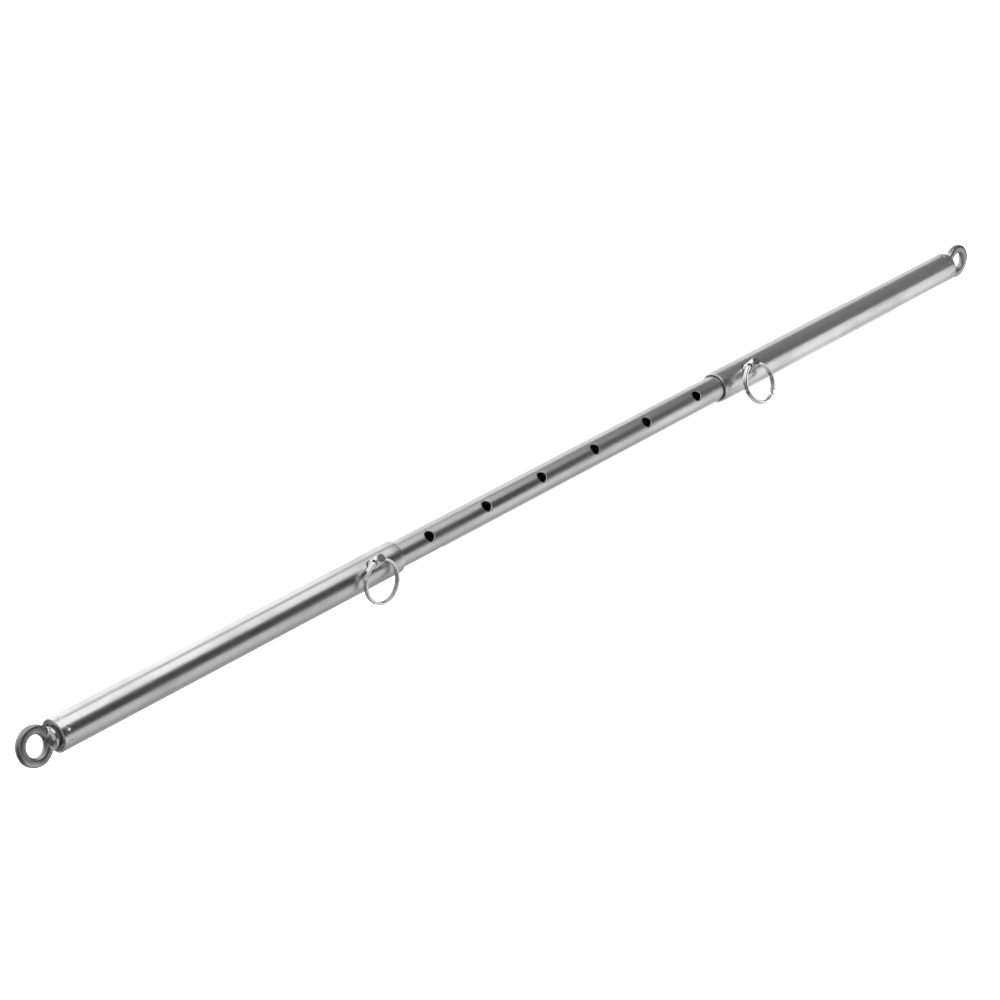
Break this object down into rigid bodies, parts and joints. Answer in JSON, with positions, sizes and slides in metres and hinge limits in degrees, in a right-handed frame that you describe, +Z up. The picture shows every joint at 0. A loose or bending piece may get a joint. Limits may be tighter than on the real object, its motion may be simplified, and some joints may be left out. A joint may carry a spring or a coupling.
{
  "type": "spreader beam",
  "caption": "Telescopic round spreader bar with a holed inner tube, sliding outer tubes, lock pins on split rings, and a swivel eye in each end.",
  "frame": {"origin": "on the beam's axis, midway between its two ends", "axes": "+X along the beam to its right end, +Z up, -Y the side to which the pins lean"},
  "size_m": [1.106, 0.0446, 0.0404],
  "materials": {
    "satin_steel": "satin plated steel tube, fine lengthwise grain",
    "forged_steel": "forged and plated, slightly rough and darker than the tube",
    "turned_steel": "plain turned steel, mid grey, with tool marks",
    "zinc_plate": "plain zinc plate",
    "bright_chrome": "bright mirror plate"
  },
  "bodies": {
    "inner_tube": {"inner_tube": "satin_steel"},
    "left_tube": {"left_outer_tube": "satin_steel", "left_end_plug": "turned_steel", "left_shoulder_washer": "zinc_plate"},
    "left_eye": {"left_eye": "forged_steel", "left_nut_washer": "zinc_plate", "left_lock_nut": "zinc_plate"},
    "left_pin": {"left_lock_pin": "bright_chrome"},
    "left_ring": {"left_split_ring": "bright_chrome"},
    "right_tube": {"right_outer_tube": "satin_steel", "right_end_plug": "turned_steel", "right_shoulder_washer": "zinc_plate"},
    "right_eye": {"right_eye": "forged_steel", "right_nut_washer": "zinc_plate", "right_lock_nut": "zinc_plate"},
    "right_pin": {"right_lock_pin": "bright_chrome"},
    "right_ring": {"right_split_ring": "bright_chrome"}
  },
  "joints": [
    {"name": "left_tube_slide", "type": "slide", "parent": "inner_tube", "child": "left_tube", "axis": [1, 0, 0], "range_m": [0, 0.1905]},
    {"name": "left_pin_pull", "type": "slide", "parent": "left_tube", "child": "left_pin", "axis": [0, -0.682, 0.7314], "range_m": [-0.002, 0.012]},
    {"name": "left_ring_swing", "type": "hinge", "parent": "left_pin", "child": "left_ring", "pos_m": [-0.22225, -0.01446, 0.0155], "axis": [-0.9994, -0.0255, -0.0238], "range_deg": [-1, 243]},
    {"name": "left_eye_swivel", "type": "hinge", "parent": "left_tube", "child": "left_eye", "pos_m": [-0.538, 0, 0], "axis": [1, 0, 0], "continuous": true},
    {"name": "right_tube_slide", "type": "slide", "parent": "inner_tube", "child": "right_tube", "axis": [-1, 0, 0], "range_m": [0, 0.1905]},
    {"name": "right_pin_pull", "type": "slide", "parent": "right_tube", "child": "right_pin", "axis": [0, -0.682, 0.7314], "range_m": [-0.002, 0.012]},
    {"name": "right_ring_swing", "type": "hinge", "parent": "right_pin", "child": "right_ring", "pos_m": [0.22225, -0.01446, 0.0155], "axis": [-0.9994, -0.0255, -0.0238], "range_deg": [-17, 227]},
    {"name": "right_eye_swivel", "type": "hinge", "parent": "right_tube", "child": "right_eye", "pos_m": [0.538, 0, 0], "axis": [1, 0, 0], "continuous": true}
  ]
}
